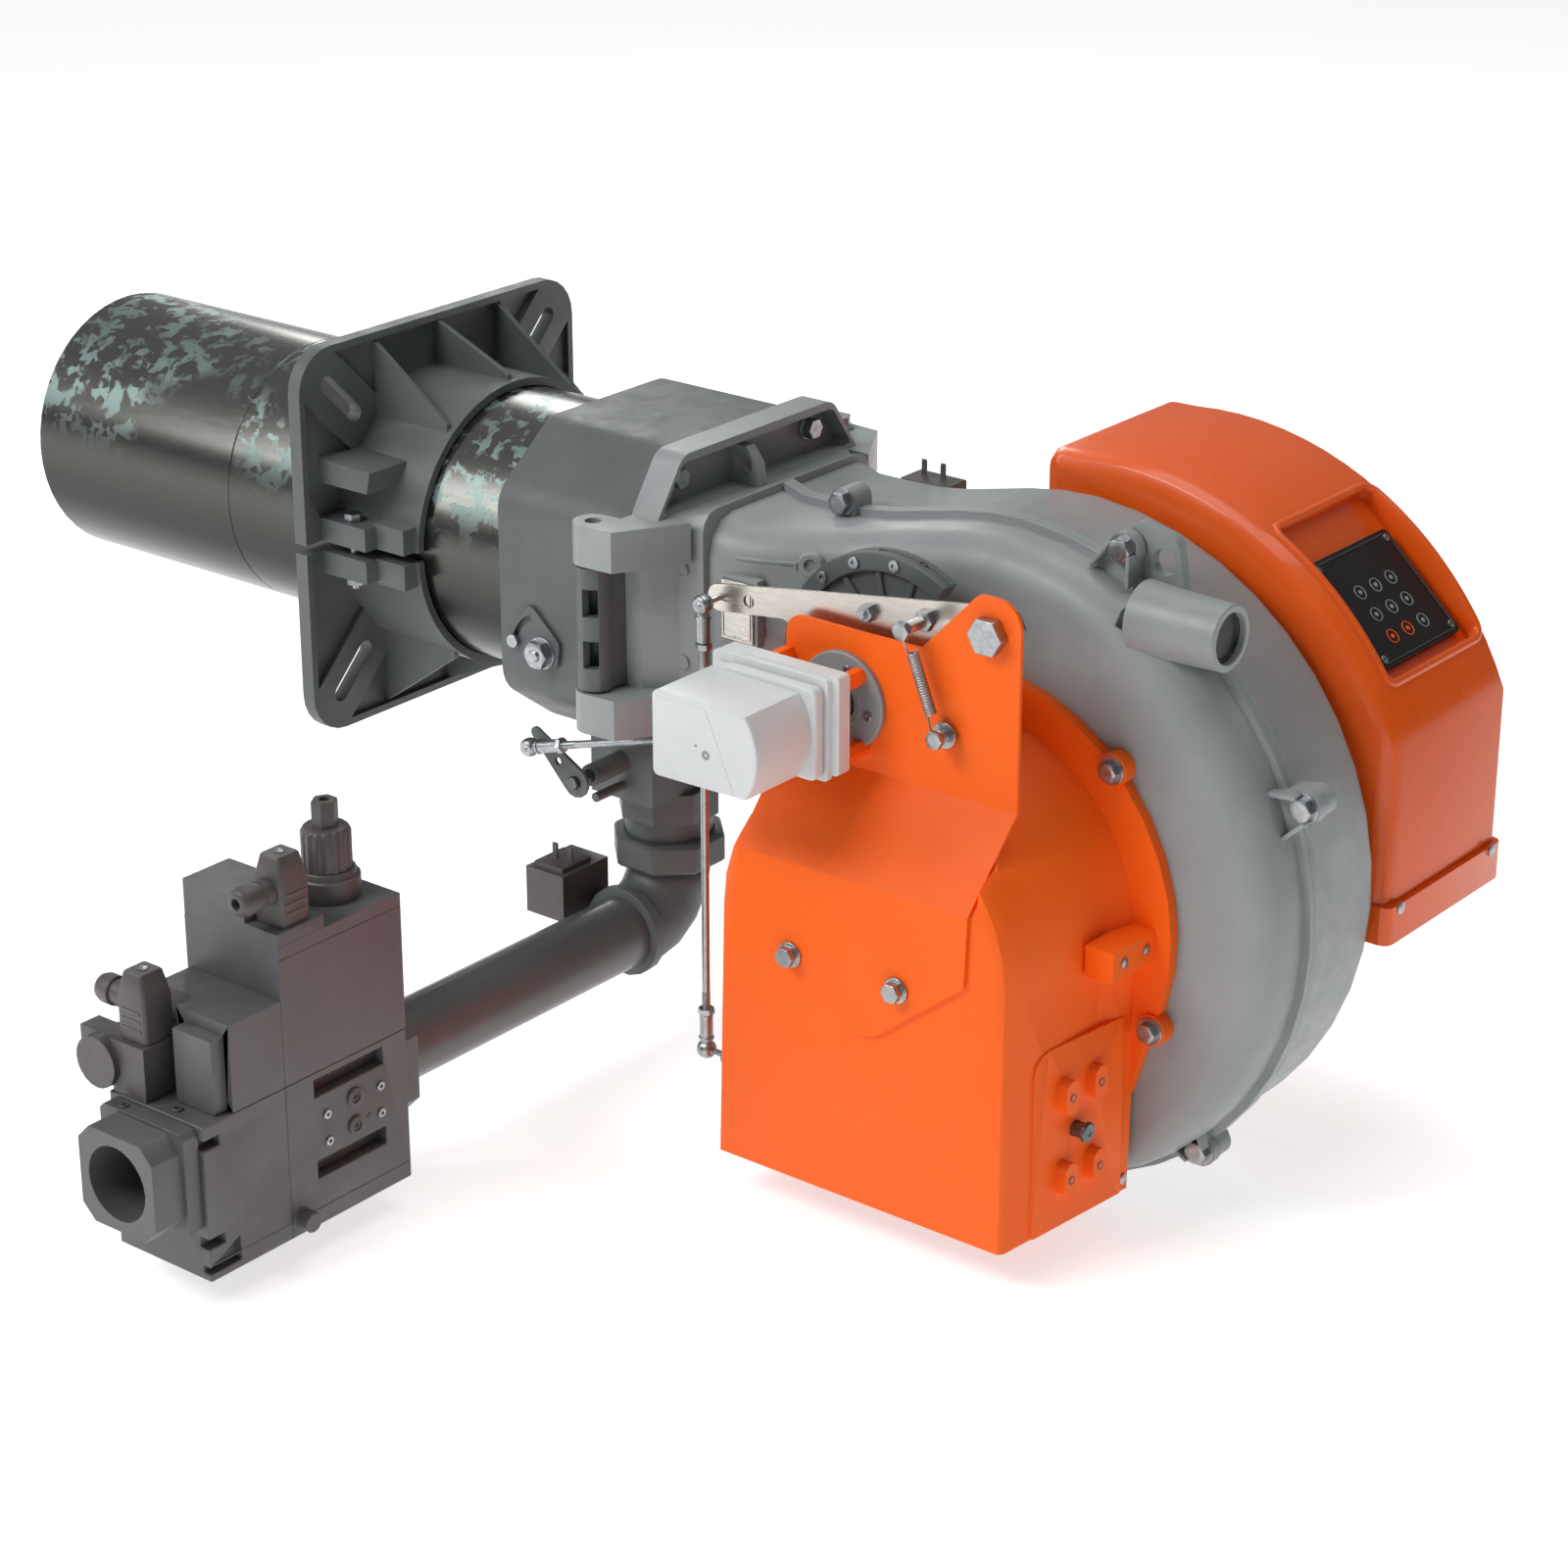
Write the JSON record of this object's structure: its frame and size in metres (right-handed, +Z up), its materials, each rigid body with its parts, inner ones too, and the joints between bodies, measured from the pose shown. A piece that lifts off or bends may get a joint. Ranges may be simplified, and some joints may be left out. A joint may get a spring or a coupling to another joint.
{
  "type": "industrial gas burner",
  "caption": "Forced-draught gas burner: flanged blast tube, hinged fan scroll with intake and hood, servo cam linkage, and a gas train with valve below the head.",
  "frame": {"origin": "axis of the blast tube where it crosses the boiler side of the mounting flange", "axes": "+X along the blast tube from the boiler towards the fan scroll, +Z up, -Y the side of the air intake, the servo linkage and the gas valve"},
  "size_m": [1.2123, 0.877, 0.5682],
  "materials": {
    "cast_dark": "satin",
    "cast_grey": "satin",
    "galvanised": "satin",
    "orange": "satin",
    "hood_orange": "gloss",
    "zinc": "satin",
    "nickel": "satin",
    "valve": "satin",
    "black_plastic": "matte",
    "panel_black": "satin",
    "servo_white": "satin",
    "pipe": "gloss",
    "steel": "satin",
    "ceramic": "gloss"
  },
  "bodies": {
    "flange": {"mounting_flange": "cast_dark", "clamp_bolt": "zinc"},
    "head": {"blast_tube_front": "galvanised", "blast_tube_rear": "galvanised", "head_casting": "cast_dark", "adjuster_lock_screw": "zinc", "butterfly_body": "cast_dark", "pipe_adapter": "cast_dark", "union_nut": "cast_dark", "elbow": "cast_dark", "gas_pipe": "pipe", "gas_pressure_switch": "black_plastic", "valve_inlet_flange": "valve", "valve_body": "valve", "valve_outlet_flange": "valve", "main_coil": "valve", "safety_coil": "valve", "main_coil_plug": "black_plastic", "valve_pressure_switch": "black_plastic", "pressure_switch_plug": "black_plastic", "damper_base": "black_plastic"},
    "mixer": {"gas_lance": "steel", "flame_disc": "steel", "ignition_electrode": "ceramic"},
    "adjuster": {"adjuster_plate": "cast_dark"},
    "gas_valve_lever": {"gas_butterfly": "steel", "gas_lever": "cast_dark"},
    "flow_adjuster": {"flow_adjuster_cap": "black_plastic"},
    "housing": {"hinge_frame": "cast_grey", "hinge_bolt": "zinc", "frame_bolt_near": "zinc", "frame_bolt_far": "zinc", "volute_front": "cast_grey", "volute_rear": "cast_grey", "inspection_plug": "black_plastic", "duct_plate": "nickel", "air_pressure_switch": "black_plastic", "motor": "cast_dark", "air_intake": "orange", "servo_bracket": "orange", "bracket_bolt_left": "zinc", "bracket_bolt_right": "zinc", "servo_base": "servo_white", "servo_cover": "servo_white", "lever_pivot_bolt": "zinc", "spring_post": "zinc", "return_spring": "steel", "hood": "hood_orange", "control_panel": "panel_black"},
    "rotor": {"impeller": "steel", "motor_shaft": "steel"},
    "cam": {"cam_disc": "cast_dark", "cam_ring": "cast_dark"},
    "lever": {"air_lever": "nickel", "cam_follower": "steel"},
    "push_rod": {"air_rod": "nickel"},
    "damper": {"damper_blade": "steel", "damper_crank": "zinc"},
    "gas_link": {"gas_rod": "nickel"}
  },
  "joints": [
    {"name": "head_slide", "type": "slide", "parent": "flange", "child": "head", "axis": [1, 0, 0], "range_m": [-0.09, 0.1]},
    {"name": "adjuster_turn", "type": "hinge", "parent": "head", "child": "adjuster", "pos_m": [0.237, -0.13, -0.041], "axis": [0, -1, 0], "range_deg": [0, 54]},
    {"name": "mixer_slide", "type": "slide", "parent": "head", "child": "mixer", "axis": [1, 0, 0], "range_m": [0, 0.015]},
    {"name": "housing_swing", "type": "hinge", "parent": "head", "child": "housing", "pos_m": [0.305, 0.148, 0], "axis": [0, 0, 1], "range_deg": [0, 90]},
    {"name": "fan_spin", "type": "hinge", "parent": "housing", "child": "rotor", "pos_m": [0.592, 0, -0.165], "axis": [0, 1, 0], "continuous": true},
    {"name": "cam_turn", "type": "hinge", "parent": "housing", "child": "cam", "pos_m": [0.54, -0.097, -0.001], "axis": [0, -1, 0], "range_deg": [0, 90]},
    {"name": "air_lever_turn", "type": "hinge", "parent": "housing", "child": "lever", "pos_m": [0.667, -0.134, 0.077], "axis": [0, 1, 0], "range_deg": [0, 9.97]},
    {"name": "push_rod_turn", "type": "hinge", "parent": "lever", "child": "push_rod", "pos_m": [0.414, -0.152, 0.044], "axis": [0, 1, 0], "range_deg": [-9.97, 0]},
    {"name": "damper_turn", "type": "hinge", "parent": "housing", "child": "damper", "pos_m": [0.592, -0.119, -0.294], "axis": [-1, 0, 0], "range_deg": [0, 67.41]},
    {"name": "gas_rod_turn", "type": "hinge", "parent": "cam", "child": "gas_link", "pos_m": [0.52563, -0.107, -0.04047], "axis": [0, 1, 0], "range_deg": [0, 86.69]},
    {"name": "gas_lever_turn", "type": "hinge", "parent": "head", "child": "gas_valve_lever", "pos_m": [0.249, -0.1, -0.152], "axis": [0, 1, 0], "range_deg": [0, 90]},
    {"name": "flow_adjuster_turn", "type": "hinge", "parent": "head", "child": "flow_adjuster", "pos_m": [0.257, -0.39, -0.147], "axis": [0, 0, 1], "range_deg": [-120, 120]}
  ],
  "couplings": [
    {"joint": "adjuster_turn", "follows": "mixer_slide", "rad_per_m": 62.832},
    {"joint": "air_lever_turn", "follows": "cam_turn", "ratio": 0.11076},
    {"joint": "push_rod_turn", "follows": "cam_turn", "ratio": -0.11076},
    {"joint": "damper_turn", "follows": "cam_turn", "ratio": 0.7489},
    {"joint": "gas_rod_turn", "follows": "cam_turn", "ratio": 0.9631},
    {"joint": "gas_lever_turn", "follows": "cam_turn", "ratio": 1}
  ]
}
